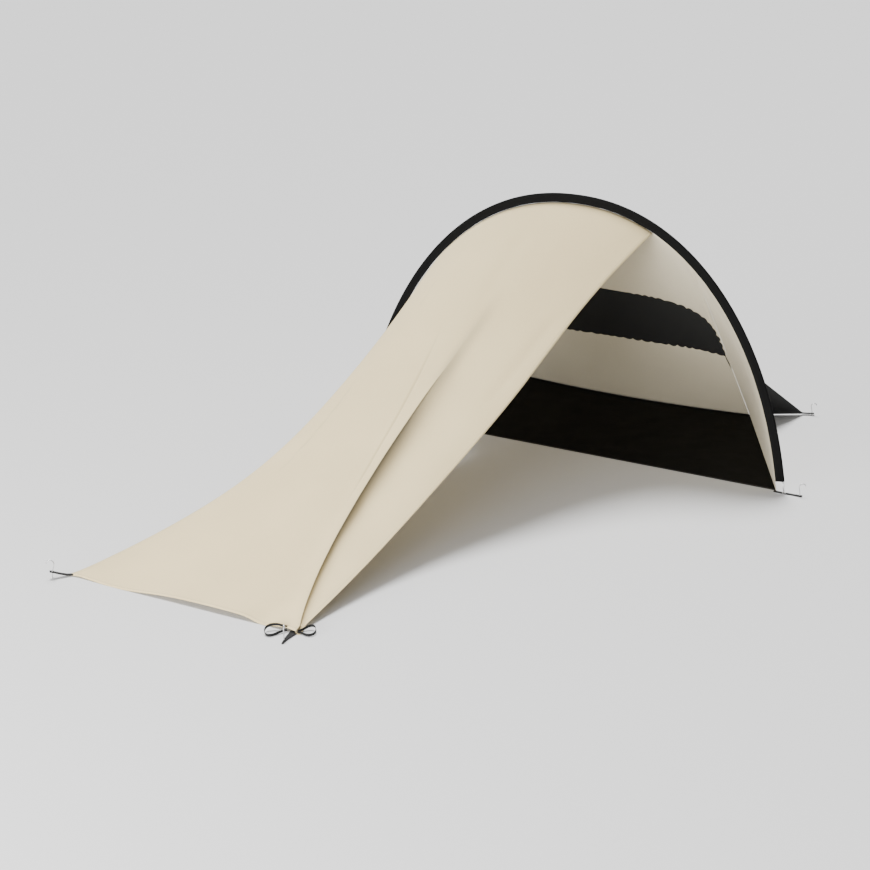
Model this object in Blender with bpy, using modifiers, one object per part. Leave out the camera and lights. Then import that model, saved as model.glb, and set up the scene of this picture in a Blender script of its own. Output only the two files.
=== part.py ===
# Sun tarp: a one-arch beach shelter with a long shade sheet pegged out in front
# Metres, +Z up, +Y towards the back of the shelter
# The origin is the middle of the groundsheet, on the ground

import math

import bmesh
import bpy
from mathutils import Vector

# Arch: a flattened ellipse whose centre lies below the ground
ARCH_HALF_WIDTH = 1.10
ARCH_HEIGHT = 1.230
ARCH_CENTRE_DEPTH = 0.4485
ARCH_ROUNDNESS = 0.945
ARCH_Y = -0.45
ARCH_LEAN = math.radians(2.4)
ARCH_POINTS = 44

# Pole and the fabric sleeve that it runs in
POLE_RADIUS = 0.00475
POLE_BORE_RADIUS = 0.0058
SLEEVE_RADIUS = 0.0072
SLEEVE_DEPTH = 0.035
SLEEVE_SEAM_HALF = 0.0013
SLEEVE_END_HEIGHT = 0.055
TIP_LENGTH = 0.045
TIP_RADIUS = 0.0040
TIP_PIN_RADIUS = 0.0025

# Cloth, thicker than the real one so that it is a solid
CLOTH = 0.002
SEAM_GAP = 0.0016
LAYER_GAP = 0.0025

# Groundsheet and the foot of the back panel
FLOOR_FRONT_HALF = 1.058
FLOOR_FRONT_Y = -0.436
FLOOR_REAR_HALF = 0.627
FLOOR_REAR_Y = 0.470
FLOOR_REAR_SAG = 0.046

# Where the panels meet the arch, as angles of its ellipse
CREASE_ANGLE = math.radians(57.4)
AWNING_RIGHT_ANGLE = math.radians(70.0)
AWNING_LEFT_ANGLE = math.radians(128.4)

# Window in the back panel: a dome over a straight sill
WINDOW_HALF_WIDTH = 0.608
WINDOW_SILL_Z = 0.412
WINDOW_HEIGHT = 0.290
WINDOW_SQUARENESS = 3.6
WINDOW_OVERLAP = 0.012
WINDOW_MESH = 0.0012
WINDOW_MESH_GAP = 0.0012

# Shade sheet that runs from the arch to two pegs
AWNING_CORNER_LEFT = Vector((-1.120, -2.663, 0.010))
AWNING_CORNER_RIGHT = Vector((-0.056, -2.636, 0.006))
AWNING_SAG = 0.162
AWNING_CUT = 0.100
AWNING_SAG_SHIFT = 1.19
AWNING_FRONT_RISE = 0.008

# Slack of each long edge as waves: two half waves, three, four and so on
AWNING_LEFT_WAVES = (0.009, -0.007, 0.006)
AWNING_RIGHT_WAVES = (0.017, 0.010, 0.007, 0.002)

# The crease in the shade sheet that runs up from its right-hand peg
FOLD_TOP_SHARE = 0.636
FOLD_START = 0.25
FOLD_BEND = 2.2
FOLD_DEPTH = 0.020
FOLD_FADE = 0.7
FOLD_STEEP_WIDTH = 0.045
FOLD_GENTLE_WIDTH = 0.12

# Triangular wing that pulls each rear corner out
WING_RISE = 0.46
WING_APEX = Vector((0.868, 0.610, 0.006))
WING_STAND_OFF = Vector((0.0045, 0.0045, 0.0))

# How much of a triangle's point is trimmed off, as a share of its length
SIDE_POINT_TRIM = 0.01
WING_POINT_TRIM = 0.03

# Webbing
WEBBING_WIDTH = 0.020
WEBBING = 0.0016
STRAP_CLEARANCE = 0.0004
STRAP_TUCK = 0.006
STRAP_REAR_HEIGHT = 0.010
STRAP_FRONT_LEFT_HEIGHT = 0.030
STRAP_FRONT_RIGHT_HEIGHT = 0.006
STRAP_FRONT_RIGHT_TAIL = 0.016
PEG_HOLE_RADIUS = 0.0042
EYELET_HOLE_RADIUS = 0.0045

# Wire pegs, from ground level up
PEG_RADIUS = 0.0021
PEG_HEIGHT = 0.062
FRONT_LEFT_PEG_HEIGHT = 0.080
PEG_HOOK_RADIUS = 0.014
PEG_LEAN = 0.006

SIDE_PEG = Vector((1.172, ARCH_Y, 0.0))
REAR_PEG = Vector((0.904, 0.626, 0.0))
FRONT_PEG_LEFT = Vector((-1.172, -2.718, 0.0))
FRONT_PEG_RIGHT = Vector((-0.071, -2.706, 0.0))
SIDE_PEG_HEADING = math.radians(35)
REAR_PEG_HEADING = math.radians(29)
FRONT_LEFT_HEADING = math.radians(209)
FRONT_RIGHT_HEADING = math.radians(119)

# Tape tied in two loops at the right-hand front corner
TAPE = 0.0014
TAPE_WIDTH = 0.009
LOOP_HALF = 0.029
LOOP_POINT_SHARE = 0.45
LOOP_POINT_SETBACK = 1.6
LOOP_TILT = math.radians(25)
LEFT_LOOP_START = Vector((-0.112, -2.647, 0.018))
LEFT_LOOP_HEADING = math.radians(220)
LEFT_LOOP_LENGTH = 0.078
RIGHT_LOOP_START = Vector((-0.054, -2.622, 0.018))
RIGHT_LOOP_HEADING = math.radians(17)
RIGHT_LOOP_LENGTH = 0.062


def clear_scene():
    for obj in list(bpy.data.objects):
        bpy.data.objects.remove(obj)


def new_collection(name, rendered=True):
    collection = bpy.data.collections.new(name)
    collection.hide_render = not rendered
    bpy.context.scene.collection.children.link(collection)
    return collection


def new_material(name, colour, roughness, metallic=0.0):
    material = bpy.data.materials.new(name)
    material.use_nodes = True
    shader = material.node_tree.nodes["Principled BSDF"]
    shader.inputs["Base Color"].default_value = (*colour, 1.0)
    shader.inputs["Roughness"].default_value = roughness
    shader.inputs["Metallic"].default_value = metallic
    return material


def object_from(bm, name, material, collection):
    mesh = bpy.data.meshes.new(name)
    bm.to_mesh(mesh)
    bm.free()
    obj = bpy.data.objects.new(name, mesh)
    obj.data.materials.append(material)
    collection.objects.link(obj)
    return obj


def arch_point(angle, inset=0.0, ahead=0.0):
    """A point on the arch's line, moved towards its inside and towards the front."""
    across, along = arch_plane_point(angle, inset)
    up = Vector((0.0, math.sin(ARCH_LEAN), math.cos(ARCH_LEAN)))
    front = Vector((0.0, -math.cos(ARCH_LEAN), math.sin(ARCH_LEAN)))
    return Vector((across, ARCH_Y, 0.0)) + up * along + front * ahead


def ellipse_point(angle):
    """The arch's line in its own plane, as distance across and distance up."""
    foot = arch_foot_angle()
    half_axis = ARCH_HALF_WIDTH / math.cos(foot) ** ARCH_ROUNDNESS
    rise = ARCH_HEIGHT + ARCH_CENTRE_DEPTH
    across = math.copysign(abs(math.cos(angle)) ** ARCH_ROUNDNESS, math.cos(angle)) * half_axis
    return Vector((across, rise * math.sin(angle) ** ARCH_ROUNDNESS - ARCH_CENTRE_DEPTH))


def arch_plane_point(angle, inset=0.0):
    step = 1e-4
    tangent = (ellipse_point(angle + step) - ellipse_point(angle - step)).normalized()
    return ellipse_point(angle) + Vector((-tangent.y, tangent.x)) * inset


def arch_foot_angle():
    share = ARCH_CENTRE_DEPTH / (ARCH_HEIGHT + ARCH_CENTRE_DEPTH)
    return math.asin(share ** (1.0 / ARCH_ROUNDNESS))


def arch_angle_at(height):
    """The angle at which the right-hand leg is this high above the ground."""
    low, high = arch_foot_angle(), math.pi / 2
    for _ in range(40):
        middle = (low + high) / 2
        if arch_point(middle).z < height:
            low = middle
        else:
            high = middle
    return high


def mix(a, b, share):
    return a + (b - a) * share


def cloth(name, surface, across, along, material, collection, thickness=CLOTH):
    """A sheet with real thickness: a grid laid over surface(u, v), with u and v from 0 to 1."""
    bm = bmesh.new()
    bmesh.ops.create_grid(bm, x_segments=across, y_segments=along, size=0.5)
    for vert in bm.verts:
        vert.co = surface(vert.co.x + 0.5, vert.co.y + 0.5)
    obj = object_from(bm, name, material, collection)
    obj.data.shade_smooth()
    solid = obj.modifiers.new("thickness", "SOLIDIFY")
    solid.thickness = thickness
    solid.offset = 0.0
    solid.use_even_offset = True
    return obj


def tube(name, points, radius, material, collection, sides=3):
    """A round bar or wire along a line of points."""
    curve = bpy.data.curves.new(name, "CURVE")
    curve.dimensions = "3D"
    curve.bevel_depth = radius
    curve.bevel_resolution = sides
    curve.use_fill_caps = True
    spline = curve.splines.new("POLY")
    spline.points.add(len(points) - 1)
    for spot, point in zip(spline.points, points):
        spot.co = (*point, 1.0)
    curve.materials.append(material)
    obj = bpy.data.objects.new(name, curve)
    collection.objects.link(obj)
    return obj


def outline(name, rings, depth, material, collection):
    """A flat plate from closed outlines; a ring inside another is a hole."""
    curve = bpy.data.curves.new(name, "CURVE")
    curve.dimensions = "2D"
    curve.fill_mode = "BOTH"
    curve.extrude = depth / 2
    for ring in rings:
        spline = curve.splines.new("POLY")
        spline.points.add(len(ring) - 1)
        for spot, (x, y) in zip(spline.points, ring):
            spot.co = (x, y, 0.0, 1.0)
        spline.use_cyclic_u = True
    curve.materials.append(material)
    obj = bpy.data.objects.new(name, curve)
    collection.objects.link(obj)
    return obj


def as_mesh(obj, collection):
    """The curve's evaluated shape as a mesh object with its caps welded."""
    bpy.context.view_layer.update()
    evaluated = obj.evaluated_get(bpy.context.evaluated_depsgraph_get())
    mesh = bpy.data.meshes.new_from_object(evaluated)
    bm = bmesh.new()
    bm.from_mesh(mesh)
    bmesh.ops.remove_doubles(bm, verts=bm.verts, dist=1e-5)
    bm.to_mesh(mesh)
    bm.free()
    made = bpy.data.objects.new(obj.name + "_mesh", mesh)
    made.matrix_world = obj.matrix_world
    collection.objects.link(made)
    name = obj.name
    bpy.data.objects.remove(obj)
    made.name = name
    return made


def cut(obj, cutter, operation="DIFFERENCE"):
    cutter.hide_render = True
    cutter.display_type = "WIRE"
    boolean = obj.modifiers.new("cut", "BOOLEAN")
    boolean.object = cutter
    boolean.operation = operation


def circle(distance, radius, count=12):
    """A hole's outline on the centre line of a strap."""
    turns = [2 * math.pi * i / count for i in range(count)]
    return [(distance + radius * math.cos(turn), radius * math.sin(turn)) for turn in turns]


# The arch: pole, sleeve and the tips that stand in the eyelets


def arch_line(first_angle, last_angle, count):
    return [mix(first_angle, last_angle, i / (count - 1)) for i in range(count)]


def add_pole(metal, collection):
    start = arch_angle_at(SLEEVE_END_HEIGHT - 0.004)
    angles = arch_line(start, math.pi - start, ARCH_POINTS)
    tube("arch_pole", [arch_point(a) for a in angles], POLE_RADIUS, metal, collection, sides=2)


def sleeve_profile():
    """Round channel for the pole, narrowing to the flat seam that the panels hang from."""
    ring = []
    arc_steps = 7
    for i in range(arc_steps):
        turn = math.radians(mix(75.0, 285.0, i / (arc_steps - 1)))
        ring.append((SLEEVE_RADIUS * math.cos(turn), SLEEVE_RADIUS * math.sin(turn)))
    ring.append((SLEEVE_DEPTH, -SLEEVE_SEAM_HALF))
    ring.append((SLEEVE_DEPTH, SLEEVE_SEAM_HALF))
    return ring


def add_sleeve(fabric, collection, cutters):
    start = arch_angle_at(SLEEVE_END_HEIGHT)
    angles = arch_line(start, math.pi - start, ARCH_POINTS)
    bm = bmesh.new()
    rings = []
    for angle in angles:
        ring = [bm.verts.new(arch_point(angle, inset, ahead)) for inset, ahead in sleeve_profile()]
        rings.append(ring)
    for one, two in zip(rings, rings[1:]):
        for i in range(len(one)):
            j = (i + 1) % len(one)
            bm.faces.new((one[i], one[j], two[j], two[i]))
    bm.faces.new(rings[0][::-1])
    bm.faces.new(rings[-1])
    bmesh.ops.recalc_face_normals(bm, faces=bm.faces)
    sleeve = object_from(bm, "pole_sleeve", fabric, collection)
    overrun = 0.010
    reach = arch_angle_at(SLEEVE_END_HEIGHT - overrun)
    bore_angles = arch_line(reach, math.pi - reach, ARCH_POINTS)
    bore = tube("sleeve_bore", [arch_point(a) for a in bore_angles], POLE_BORE_RADIUS, fabric, cutters, 2)
    cut(sleeve, as_mesh(bore, cutters))


def add_tip(side, metal, collection):
    """Turned end of the pole, with the pin that drops into the eyelet."""
    foot = arch_point(arch_foot_angle())
    top = arch_point(arch_angle_at(SLEEVE_END_HEIGHT - 0.006))
    pin_length = 0.012
    shoulder = 0.003
    length = (top - foot).length
    profile = [
        (0.0, length),
        (TIP_RADIUS - 0.0006, length),
        (TIP_RADIUS, length - 0.0008),
        (TIP_RADIUS, pin_length + shoulder),
        (TIP_PIN_RADIUS, pin_length),
        (TIP_PIN_RADIUS, 0.0022),
        (TIP_PIN_RADIUS - 0.0009, 0.0008),
        (0.0, 0.0008),
    ]
    bm = bmesh.new()
    verts = [bm.verts.new((x, 0.0, z)) for x, z in profile]
    for a, b in zip(verts, verts[1:]):
        bm.edges.new((a, b))
    tip = object_from(bm, "pole_tip_" + side, metal, collection)
    turn = tip.modifiers.new("turn", "SCREW")
    turn.steps = turn.render_steps = 16
    turn.use_merge_vertices = True
    turn.merge_threshold = 0.00005
    sign = 1.0 if side == "right" else -1.0
    tip.location = (sign * foot.x, foot.y, foot.z)
    lean = math.atan2(foot.x - top.x, top.z - foot.z)
    tip.rotation_euler = (-ARCH_LEAN, -sign * lean, 0.0)


# Sewn panels of the shelter


def rear_edge(share):
    spread = 2 * share - 1
    y = FLOOR_REAR_Y - FLOOR_REAR_SAG * (1 - spread * spread)
    return Vector((FLOOR_REAR_HALF * spread, y, 0.0))


def floor_surface(u, v):
    front = Vector((FLOOR_FRONT_HALF * (2 * u - 1), FLOOR_FRONT_Y, 0.0))
    return mix(front, rear_edge(u), v) + Vector((0.0, 0.0, CLOTH / 2))


def back_top(share):
    """Where the back panel meets the seam of the sleeve, from the left crease to the right one."""
    angle = mix(math.pi - CREASE_ANGLE, CREASE_ANGLE, share)
    return arch_point(angle, SLEEVE_DEPTH + SEAM_GAP, -LAYER_GAP / 2)


def back_surface(u, v, offset=0.0):
    """The slanted back panel; offset moves it outwards, away from the room."""
    margin = SEAM_GAP / (2 * FLOOR_REAR_HALF)
    share = mix(margin, 1 - margin, u)
    low = rear_edge(share) + Vector((0.0, 0.0, CLOTH + SEAM_GAP))
    point = mix(low, back_top(share), v)
    if offset:
        step = 1e-3
        du = back_surface(min(u + step, 1.0), v) - back_surface(max(u - step, 0.0), v)
        dv = back_surface(u, min(v + step, 1.0)) - back_surface(u, max(v - step, 0.0))
        point = point - du.cross(dv).normalized() * offset
    return point


def crease_foot():
    return Vector((FLOOR_REAR_HALF, FLOOR_REAR_Y, CLOTH + SEAM_GAP))


def crease_top():
    return arch_point(CREASE_ANGLE, SLEEVE_DEPTH + SEAM_GAP, -LAYER_GAP / 2)


def side_surface(u, v):
    """The right-hand side panel: a fan from the rear corner to the front leg of the arch."""
    foot = arch_foot_angle()
    lowest = arch_angle_at(CLOTH + SEAM_GAP)
    angle = mix(max(foot, lowest), CREASE_ANGLE - SEAM_GAP / ARCH_HALF_WIDTH * 2, u)
    front = arch_point(angle, SLEEVE_DEPTH + SEAM_GAP, -LAYER_GAP / 2)
    front.z = max(front.z, CLOTH + SEAM_GAP)
    apex = crease_foot() + Vector((SEAM_GAP, -SEAM_GAP, 0.0))
    return mix(apex, front, mix(SIDE_POINT_TRIM, 1.0, v))


def window_ring(grow):
    """The window's outline in X and Z."""
    ring = []
    count = 28
    half = WINDOW_HALF_WIDTH + grow
    height = WINDOW_HEIGHT + grow
    power = 2.0 / WINDOW_SQUARENESS
    for i in range(count + 1):
        turn = math.pi * i / count
        x = math.copysign(abs(math.cos(turn)) ** power, math.cos(turn)) * half
        ring.append((x, WINDOW_SILL_Z + height * math.sin(turn) ** power))
    ring.append((-half, WINDOW_SILL_Z - grow))
    ring.append((half, WINDOW_SILL_Z - grow))
    return ring


def window_cutter(name, grow, material, cutters):
    """A block with the window's outline that passes through the back panel from front to back."""
    plate = outline(name, [window_ring(grow)], 2.0, material, cutters)
    plate.rotation_euler = (math.pi / 2, 0.0, 0.0)
    bpy.context.view_layer.update()
    return as_mesh(plate, cutters)


def add_back(fabric, mesh_fabric, collection, cutters):
    panel = cloth("back_panel", back_surface, 16, 12, fabric, collection)
    cut(panel, window_cutter("window_hole", 0.0, fabric, cutters))
    layer = CLOTH / 2 + WINDOW_MESH_GAP + WINDOW_MESH / 2

    def behind(u, v):
        return back_surface(u, v, layer)

    window = cloth("window_mesh", behind, 16, 12, mesh_fabric, collection, WINDOW_MESH)
    cut(window, window_cutter("window_edge", WINDOW_OVERLAP, fabric, cutters), "INTERSECT")


def add_side(side, fabric, collection):
    sign = 1.0 if side == "right" else -1.0

    def surface(u, v):
        point = side_surface(u, v)
        return Vector((point.x * sign, point.y, point.z))

    cloth("side_panel_" + side, surface, 10, 6, fabric, collection)


def add_wing(side, fabric, collection):
    """Triangle from the lower part of the rear crease out to its peg strap."""
    sign = 1.0 if side == "right" else -1.0
    low = crease_foot() + WING_STAND_OFF
    high = mix(crease_foot(), crease_top(), WING_RISE) + WING_STAND_OFF

    def surface(u, v):
        edge = mix(low, high, u)
        point = mix(WING_APEX, edge, mix(WING_POINT_TRIM, 1.0, v))
        return Vector((point.x * sign, point.y, max(point.z, CLOTH / 2)))

    cloth("wing_" + side, surface, 6, 6, fabric, collection)


# Shade sheet


def awning_top(u):
    angle = mix(AWNING_LEFT_ANGLE, AWNING_RIGHT_ANGLE, u)
    return arch_point(angle, SLEEVE_DEPTH + SEAM_GAP, LAYER_GAP / 2 + CLOTH / 2)


def awning_sag(v):
    """0 at the arch and at the pegs, 1 at the lowest part of the curve between."""
    peak = AWNING_SAG_SHIFT / (AWNING_SAG_SHIFT + 1)
    return v**AWNING_SAG_SHIFT * (1 - v) / (peak**AWNING_SAG_SHIFT * (1 - peak))


def fold_depth(u, v):
    """The crease that runs up from the right-hand peg: steep on its left, gentle on its right."""
    if v <= FOLD_START:
        return 0.0
    reach = (v - FOLD_START) / (1 - FOLD_START)
    width = (AWNING_CORNER_RIGHT - AWNING_CORNER_LEFT).length
    offset = (u - mix(FOLD_TOP_SHARE, 1.0, reach**FOLD_BEND)) * width
    span = FOLD_GENTLE_WIDTH if offset > 0 else FOLD_STEEP_WIDTH
    if abs(offset) >= span:
        return 0.0
    deepest = FOLD_DEPTH * math.sin(math.pi * reach) ** FOLD_FADE
    return deepest * (0.5 + 0.5 * math.cos(math.pi * offset / span))


def edge_waves(u, v):
    """How far the slack of the long edges moves the sheet sideways, towards the right."""
    left = sum(slack * math.sin((i + 2) * math.pi * v) for i, slack in enumerate(AWNING_LEFT_WAVES))
    right = sum(slack * math.sin((i + 2) * math.pi * v) for i, slack in enumerate(AWNING_RIGHT_WAVES))
    return left * (1 - u) - right * u


def awning_surface(u, v):
    corner = mix(AWNING_CORNER_LEFT, AWNING_CORNER_RIGHT, u)
    corner = corner + Vector((0.0, 0.0, AWNING_FRONT_RISE * 4 * u * (1 - u)))
    run = AWNING_CORNER_LEFT - awning_top(0.0)
    inward = Vector((-run.y, run.x, 0.0)).normalized()
    point = mix(awning_top(u), corner, v)
    point = point + inward * (AWNING_CUT * (1 - 2 * u) * awning_sag(v) + edge_waves(u, v))
    return point - Vector((0.0, 0.0, AWNING_SAG * awning_sag(v) + fold_depth(u, v)))


def add_awning(fabric, collection):
    cloth("awning", awning_surface, 30, 26, fabric, collection)


# Straps, pegs and the tied tape


def strap_ring(length, half):
    """A strip from x = 0 with a rounded far end."""
    ring = [(0.0, -half), (length - half, -half)]
    for i in range(1, 8):
        turn = math.radians(-90 + 180 * i / 8)
        ring.append((length - half + half * math.cos(turn), half * math.sin(turn)))
    return ring + [(length - half, half), (0.0, half)]


def add_strap(name, start, end, holes, material, collection, tail=0.0):
    """Webbing that reaches just past end; holes are (distance, radius) along it."""
    run = end - start
    half = WEBBING_WIDTH / 2
    rings = [strap_ring(run.length + half + tail, half)]
    rings += [circle(distance, radius) for distance, radius in holes]
    strap = outline(name, rings, WEBBING, material, collection)
    strap.location = start
    strap.rotation_euler = (0.0, -math.asin(run.z / run.length), math.atan2(run.y, run.x))
    return strap


def add_peg(name, spot, heading, metal, collection, height=PEG_HEIGHT):
    """Wire peg with an open hook, cut off at ground level; the hook points along heading."""
    out = Vector((math.cos(heading), math.sin(heading), 0.0))
    up = Vector((0.0, 0.0, 1.0))
    shoulder = height - PEG_HOOK_RADIUS - PEG_RADIUS
    points = [spot.copy(), spot + up * (shoulder * 0.5)]
    centre = spot + out * (PEG_HOOK_RADIUS - PEG_LEAN) + up * shoulder
    steps = 9
    for i in range(steps):
        turn = math.radians(mix(180.0, -30.0, i / (steps - 1)))
        points.append(centre + (out * math.cos(turn) + up * math.sin(turn)) * PEG_HOOK_RADIUS)
    tube(name, points, PEG_RADIUS, metal, collection, sides=2)


def add_eyelet(side, spot, metal, collection):
    """Turned ring on the foot strap, round the pole's pin."""
    inner = EYELET_HOLE_RADIUS
    outer = inner + 0.0040
    rise = 0.0016
    profile = [
        (inner, 0.0),
        (inner, rise * 0.7),
        (inner + 0.0014, rise),
        (outer - 0.0008, rise * 0.6),
        (outer, 0.0),
    ]
    bm = bmesh.new()
    verts = [bm.verts.new((x, 0.0, z)) for x, z in profile]
    for a, b in zip(verts, verts[1:] + verts[:1]):
        bm.edges.new((a, b))
    ring = object_from(bm, "foot_eyelet_" + side, metal, collection)
    turn = ring.modifiers.new("turn", "SCREW")
    turn.steps = turn.render_steps = 20
    turn.use_merge_vertices = True
    turn.merge_threshold = 0.00005
    ring.location = spot


def add_foot(side, webbing, metal, collection):
    """Strap from the groundsheet's front corner, under the pole, to the side peg."""
    sign = 1.0 if side == "right" else -1.0
    level = Vector((0.0, 0.0, WEBBING / 2 + STRAP_CLEARANCE))
    start = Vector((sign * (FLOOR_FRONT_HALF + SEAM_GAP), ARCH_Y, 0.0)) + level
    peg = Vector((sign * SIDE_PEG.x, SIDE_PEG.y, 0.0))
    foot = Vector((sign * ARCH_HALF_WIDTH, ARCH_Y, 0.0))
    holes = [((foot - start).xy.length, EYELET_HOLE_RADIUS), ((peg - start).xy.length, PEG_HOLE_RADIUS)]
    add_strap("foot_strap_" + side, start, peg + level, holes, webbing, collection)
    on_strap = Vector((0.0, 0.0, WEBBING + 2 * STRAP_CLEARANCE))
    add_eyelet(side, foot + on_strap, metal, collection)
    heading = SIDE_PEG_HEADING if side == "right" else math.pi - SIDE_PEG_HEADING
    add_peg("side_peg_" + side, peg, heading, metal, collection)


def add_rear_anchor(side, webbing, metal, collection):
    """Short strap from the wing's point to the rear peg."""
    sign = 1.0 if side == "right" else -1.0
    start = Vector((sign * WING_APEX.x, WING_APEX.y, STRAP_REAR_HEIGHT))
    peg = Vector((sign * REAR_PEG.x, REAR_PEG.y, 0.0))
    end = Vector((peg.x, peg.y, STRAP_REAR_HEIGHT))
    holes = [((end - start).length, PEG_HOLE_RADIUS)]
    add_strap("rear_strap_" + side, start, end, holes, webbing, collection)
    heading = REAR_PEG_HEADING if side == "right" else math.pi - REAR_PEG_HEADING
    add_peg("rear_peg_" + side, peg, heading, metal, collection)


def add_front_anchor(side, webbing, metal, collection):
    """Strap from a front corner of the shade sheet to its peg."""
    if side == "left":
        corner, peg, heading = AWNING_CORNER_LEFT, FRONT_PEG_LEFT, FRONT_LEFT_HEADING
        strap_height, peg_height, tail = STRAP_FRONT_LEFT_HEIGHT, FRONT_LEFT_PEG_HEIGHT, 0.0
    else:
        corner, peg, heading = AWNING_CORNER_RIGHT, FRONT_PEG_RIGHT, FRONT_RIGHT_HEADING
        strap_height, peg_height, tail = STRAP_FRONT_RIGHT_HEIGHT, PEG_HEIGHT, STRAP_FRONT_RIGHT_TAIL
    end = Vector((peg.x, peg.y, strap_height))
    away = (end - corner).normalized()
    start = corner + away * STRAP_TUCK
    holes = [((end - start).length, PEG_HOLE_RADIUS)]
    add_strap("front_strap_" + side, start, end, holes, webbing, collection, tail)
    add_peg("front_peg_" + side, peg, heading, metal, collection, peg_height)


def teardrop(length, half, inset):
    """A loop's outline along X, pointed at x = 0; inset gives its inner edge."""
    ring = []
    count = 24
    for i in range(count):
        turn = 2 * math.pi * i / count
        x = mix(inset * LOOP_POINT_SETBACK, length - inset, 0.5 - 0.5 * math.cos(turn))
        bulge = mix(LOOP_POINT_SHARE, 1.0, abs(math.sin(turn / 2)))
        y = (half - inset) * math.sin(turn) * bulge
        ring.append((x, y))
    return ring


def add_loop(side, start, length, heading, material, collection):
    """Tape bent round on its edge; the side towards the shade sheet leans up."""
    rings = [teardrop(length, LOOP_HALF, 0.0), teardrop(length, LOOP_HALF, TAPE)]
    loop = outline("tape_loop_" + side, rings, TAPE_WIDTH, material, collection)
    loop.location = start
    loop.rotation_euler = (LOOP_TILT if side == "right" else -LOOP_TILT, 0.0, heading)


def add_tape(material, collection):
    """The tape's two loops, one on each side of the corner."""
    add_loop("left", LEFT_LOOP_START, LEFT_LOOP_LENGTH, LEFT_LOOP_HEADING, material, collection)
    add_loop("right", RIGHT_LOOP_START, RIGHT_LOOP_LENGTH, RIGHT_LOOP_HEADING, material, collection)


def main():
    clear_scene()
    tarp = new_collection("sun_tarp")
    cutters = new_collection("cutters", rendered=False)
    canvas = new_material("canvas", (0.64, 0.58, 0.49), 0.85)
    black_cloth = new_material("black_cloth", (0.020, 0.020, 0.021), 0.75)
    netting = new_material("netting", (0.012, 0.012, 0.012), 0.9)
    webbing = new_material("webbing", (0.035, 0.035, 0.037), 0.8)
    alloy = new_material("alloy", (0.80, 0.80, 0.81), 0.35, 1.0)
    add_pole(alloy, tarp)
    add_sleeve(black_cloth, tarp, cutters)
    cloth("groundsheet", floor_surface, 16, 6, black_cloth, tarp)
    add_back(canvas, netting, tarp, cutters)
    add_awning(canvas, tarp)
    for side in ("right", "left"):
        add_tip(side, alloy, tarp)
        add_side(side, canvas, tarp)
        add_wing(side, black_cloth, tarp)
        add_foot(side, webbing, alloy, tarp)
        add_rear_anchor(side, webbing, alloy, tarp)
        add_front_anchor(side, webbing, alloy, tarp)
    add_tape(webbing, tarp)


main()
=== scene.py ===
import math

import bmesh
import bpy
from mathutils import Matrix, Vector, noise


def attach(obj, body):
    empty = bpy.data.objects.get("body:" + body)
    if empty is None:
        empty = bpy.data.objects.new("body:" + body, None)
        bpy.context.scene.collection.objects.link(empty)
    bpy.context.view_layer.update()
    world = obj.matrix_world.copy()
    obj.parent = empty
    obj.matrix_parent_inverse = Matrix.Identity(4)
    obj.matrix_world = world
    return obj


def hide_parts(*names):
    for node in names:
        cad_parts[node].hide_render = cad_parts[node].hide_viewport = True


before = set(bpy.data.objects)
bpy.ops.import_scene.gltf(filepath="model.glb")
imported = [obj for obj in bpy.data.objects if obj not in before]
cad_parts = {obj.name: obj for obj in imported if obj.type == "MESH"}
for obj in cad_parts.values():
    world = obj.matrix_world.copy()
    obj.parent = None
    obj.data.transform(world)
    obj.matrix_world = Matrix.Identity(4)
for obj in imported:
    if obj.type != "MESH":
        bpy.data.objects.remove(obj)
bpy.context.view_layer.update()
print("frame loaded:", len(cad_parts), "nodes")


# shader maths: one socket of a node tree that can be added, multiplied and so on

class Wire:
    def __init__(self, finish, socket):
        self.finish = finish
        self.socket = socket

    def maths(self, operation, first, second):
        return self.finish.add("ShaderNodeMath", {"operation": operation}, {0: first, 1: second})

    def __add__(self, other):
        return self.maths("ADD", self, other)

    def __radd__(self, other):
        return self.maths("ADD", other, self)

    def __sub__(self, other):
        return self.maths("SUBTRACT", self, other)

    def __rsub__(self, other):
        return self.maths("SUBTRACT", other, self)

    def __mul__(self, other):
        return self.maths("MULTIPLY", self, other)

    def __rmul__(self, other):
        return self.maths("MULTIPLY", other, self)

    def __truediv__(self, other):
        return self.maths("DIVIDE", self, other)

    def __pow__(self, other):
        return self.maths("POWER", self, other)


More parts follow.
